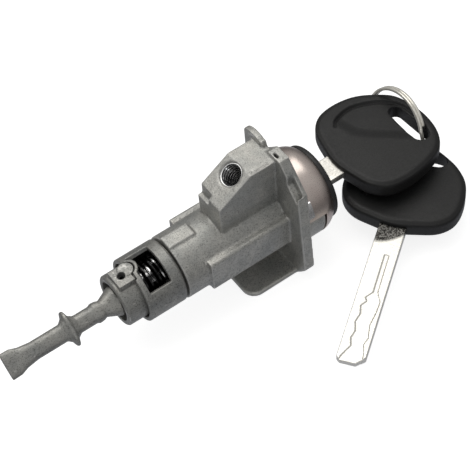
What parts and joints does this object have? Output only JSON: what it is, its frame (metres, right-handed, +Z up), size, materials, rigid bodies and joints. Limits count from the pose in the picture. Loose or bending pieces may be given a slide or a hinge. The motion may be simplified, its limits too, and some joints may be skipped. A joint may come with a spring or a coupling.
{
  "type": "car door lock cylinder with keys",
  "caption": "Die-cast door lock cylinder with flange and sloped screw boss, domed bezel, clutch collar, pinned tail lever, a key in the plug and a spare key on a ring.",
  "frame": {"origin": "on the lock's turning axis, in the plane of the housing barrel's rear end", "axes": "+X along the turning axis towards the key, +Z up through the middle of the screw boss, +Y to the far side seen in the picture"},
  "size_m": [0.1575, 0.0777, 0.0516],
  "materials": {
    "cast_zinc": "bead-blasted die casting",
    "steel": "bright",
    "brass_plug": "machined",
    "black_rubber": "matte",
    "satin_bezel": "satin, slightly warm",
    "black_spring": "blackened, oiled",
    "key_steel": "fine satin",
    "black_plastic": "fine grained"
  },
  "bodies": {
    "lock_body": {"housing": "cast_zinc", "lock_sleeve": "steel", "bezel_shell": "satin_bezel", "bezel_seal": "black_rubber", "bezel_clip": "steel"},
    "rotor": {"plug": "brass_plug", "face_plate": "satin_bezel", "wafers": "brass_plug", "plug_oring": "black_rubber", "plug_circlip": "steel", "clutch_collar": "cast_zinc", "clutch_spring": "black_spring", "spring_seat": "steel", "tail_yoke": "cast_zinc", "yoke_pin": "black_spring"},
    "tail": {"tail_lever": "cast_zinc"},
    "key": {"key_blade": "key_steel", "key_head": "black_plastic"},
    "ring_set": {"key_ring": "steel", "spare_key_blade": "key_steel", "spare_key_head": "black_plastic"}
  },
  "joints": [
    {"name": "plug_turn", "type": "hinge", "parent": "lock_body", "child": "rotor", "pos_m": [0, 0, 0], "axis": [1, 0, 0], "range_deg": [-75, 75]},
    {"name": "tail_swing", "type": "hinge", "parent": "rotor", "child": "tail", "pos_m": [-0.0165, 0, 0], "axis": [0, 0, 1], "range_deg": [-4, 4]},
    {"name": "key_slide", "type": "slide", "parent": "rotor", "child": "key", "axis": [1, 0, 0], "range_m": [0, 0.047]},
    {"name": "ring_turn", "type": "hinge", "parent": "key", "child": "ring_set", "pos_m": [0.0916, 0.0034, -0.003], "axis": [0.9703, 0, -0.2419], "range_deg": [0, 20]}
  ]
}
